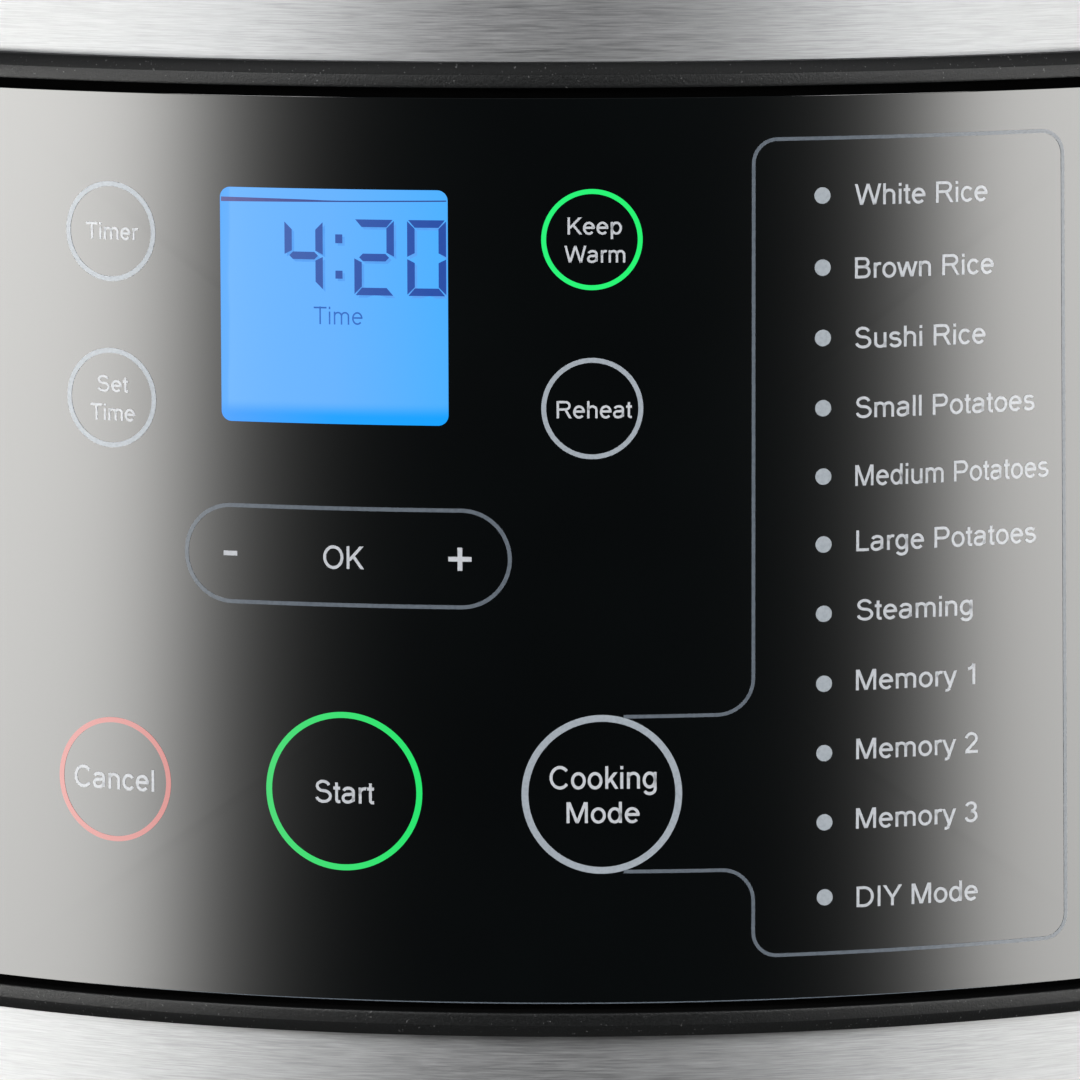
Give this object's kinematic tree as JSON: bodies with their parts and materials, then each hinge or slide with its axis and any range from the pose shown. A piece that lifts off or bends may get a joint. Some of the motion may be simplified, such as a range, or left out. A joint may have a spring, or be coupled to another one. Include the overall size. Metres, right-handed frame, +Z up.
{
  "type": "rice cooker",
  "caption": "Upright round electronic rice cooker with a brushed steel body, curved black touch panel, hinged lid, lift-out steam vent cap and side handles.",
  "frame": {"origin": "centre of the circle of feet, on the surface that the cooker stands on", "axes": "+Z up along the body's axis, -Y towards the control panel, +Y towards the lid hinge, +X to the right seen from the front"},
  "size_m": [0.32, 0.2926, 0.2658],
  "materials": {
    "black_pp": "moulded black polypropylene, fine grain",
    "foot_rubber": "moulded rubber",
    "zinc_screw": "zinc plated",
    "galvanised_steel": "zinc coated sheet",
    "brushed_steel_wrap": "stainless steel, brushed round the body",
    "gloss_black_lens": "polished black acrylic lens with printed symbols",
    "soft_black_trim": "soft-touch black bead",
    "black_abs": "moulded black ABS",
    "circuit_board": "green solder mask",
    "lcd_glass": "blue back-lit LCD",
    "light_guide": "milky acrylic light guide",
    "spring_steel": "drawn spring wire",
    "ribbon_pvc": "flat PVC cable",
    "steel_pin": "ground steel",
    "pot_coating": "dark non-stick coating on drawn aluminium",
    "cast_aluminium": "die cast, machined face",
    "element_sheath": "oxidised sheath",
    "spun_aluminium": "spun sheet",
    "fuse_body": "coated fuse body",
    "transformer_core": "taped winding and core",
    "relay_case": "blue moulded case",
    "capacitor_sleeve": "shrink sleeve",
    "terminal_nylon": "natural nylon",
    "brass_pin": "nickel-free brass blade",
    "clear_cup": "translucent polypropylene",
    "gloss_black_abs": "polished black ABS",
    "lid_liner_pp": "grey polypropylene",
    "silicone_grey": "moulded silicone",
    "chrome_bezel": "chromed ABS",
    "acetal": "natural acetal"
  },
  "bodies": {
    "cooker": {"base_pan": "black_pp", "rubber_feet": "foot_rubber", "base_screws": "zinc_screw", "support_posts": "galvanised_steel", "outer_shell": "brushed_steel_wrap", "panel_lens": "gloss_black_lens", "panel_trim": "soft_black_trim", "control_carrier": "black_abs", "control_board": "circuit_board", "lcd_module": "lcd_glass", "mode_light_guides": "light_guide", "key_light_rings": "light_guide", "touch_springs": "spring_steel", "ribbon_cable": "ribbon_pvc", "top_collar": "black_pp", "hinge_pin": "steel_pin", "hinge_spring": "spring_steel", "inner_pot": "pot_coating", "heat_shield": "galvanised_steel", "heating_plate": "cast_aluminium", "heating_element": "element_sheath", "sensor_spring": "spring_steel", "sensor_bracket": "galvanised_steel", "thermal_fuse": "fuse_body", "fuse_clip": "spring_steel", "power_board": "circuit_board", "board_studs": "black_abs", "transformer": "transformer_core", "relay": "relay_case", "capacitors": "capacitor_sleeve", "terminal_block": "terminal_nylon", "power_inlet": "black_abs", "inlet_pins": "brass_pin", "side_handle_left": "black_pp", "side_handle_right": "black_pp", "handle_screws": "zinc_screw"},
    "lid": {"lid_shell": "gloss_black_abs", "lid_top_plate": "brushed_steel_wrap", "lid_liner": "lid_liner_pp", "inner_lid": "spun_aluminium", "lid_gasket": "silicone_grey", "inner_lid_knob": "silicone_grey", "lid_screws": "zinc_screw", "hinge_cover": "black_abs", "steam_vent_seat": "black_pp", "button_bezel": "chrome_bezel", "button_shelf": "black_abs", "button_spring": "spring_steel", "latch_pin": "steel_pin", "latch_bracket": "black_abs"},
    "vent_cap": {"steam_vent_cap": "black_abs", "steam_vent_valve": "black_pp"},
    "button": {"release_button": "black_abs"},
    "latch": {"latch_hook": "acetal"},
    "sensor": {"thermostat_cup": "spun_aluminium"},
    "drip_cup": {"condensate_cup": "clear_cup"}
  },
  "joints": [
    {"name": "lid_hinge", "type": "hinge", "parent": "cooker", "child": "lid", "pos_m": [0, 0.143, 0.226], "axis": [-1, 0, 0], "range_deg": [0, 92], "deforming": ["hinge_spring"]},
    {"name": "vent_cap_lift", "type": "slide", "parent": "lid", "child": "vent_cap", "axis": [0, 0, 1], "range_m": [0, 0.03]},
    {"name": "button_press", "type": "slide", "parent": "lid", "child": "button", "axis": [0, 0, -1], "range_m": [0, 0.003], "stiffness_N_per_m": 400, "springref_m": -0.0015, "deforming": ["button_spring"]},
    {"name": "latch_turn", "type": "hinge", "parent": "lid", "child": "latch", "pos_m": [0, -0.126, 0.232], "axis": [-1, 0, 0], "range_deg": [0, 6.6]},
    {"name": "sensor_travel", "type": "slide", "parent": "cooker", "child": "sensor", "axis": [0, 0, -1], "range_m": [0, 0.003], "stiffness_N_per_m": 300, "springref_m": -0.003, "deforming": ["sensor_spring"]},
    {"name": "drip_cup_pull", "type": "slide", "parent": "cooker", "child": "drip_cup", "axis": [0, 1, 0], "range_m": [0, 0.025]}
  ],
  "couplings": [
    {"joint": "latch_turn", "follows": "button_press", "rad_per_m": 37.1}
  ]
}
